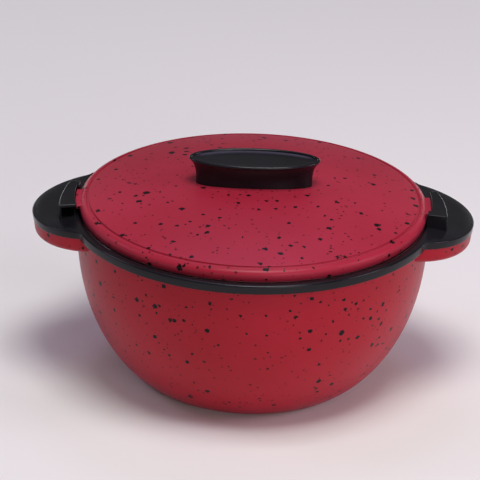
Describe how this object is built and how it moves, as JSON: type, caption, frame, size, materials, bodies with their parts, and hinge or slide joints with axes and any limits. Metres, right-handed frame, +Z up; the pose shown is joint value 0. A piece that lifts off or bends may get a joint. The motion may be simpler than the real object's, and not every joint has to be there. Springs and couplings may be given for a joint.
{
  "type": "insulated casserole",
  "caption": "Round double-walled serving bowl with a steel liner, a black collar with two ears, and a domed foam-filled lid that twists under two catches and lifts off by an oval knob.",
  "frame": {"origin": "on the floor, at the centre of the foot ring", "axes": "+X along the two ears, -Y towards the viewer of the picture, +Z up through the knob"},
  "size_m": [0.3014, 0.25, 0.1573],
  "materials": {
    "red_shell": "satin crimson with irregular black specks",
    "black_plastic": "fine satin charcoal black",
    "liner_steel": "spun and brushed in rings",
    "foam": "rigid polyurethane foam, closed cells",
    "screw_steel": "zinc-plated",
    "seal_silicone": "matt silicone"
  },
  "bodies": {
    "bowl": {"outer_bowl": "red_shell", "base_plug": "black_plastic", "bowl_foam": "foam", "inner_bowl": "liner_steel", "rim_collar": "black_plastic", "ear_screws": "screw_steel"},
    "seal": {"lid_seal": "seal_silicone"},
    "lid": {"lid_shell": "red_shell", "lid_foam": "foam", "lid_cover": "liner_steel", "knob": "black_plastic", "knob_screws": "screw_steel"}
  },
  "joints": [
    {"name": "lid_lift", "type": "slide", "parent": "bowl", "child": "seal", "axis": [0, 0, 1], "range_m": [0, 0.12]},
    {"name": "lid_turn", "type": "hinge", "parent": "seal", "child": "lid", "pos_m": [0, 0, 0.12], "axis": [0, 0, 1], "range_deg": [-2.3, 158]}
  ]
}
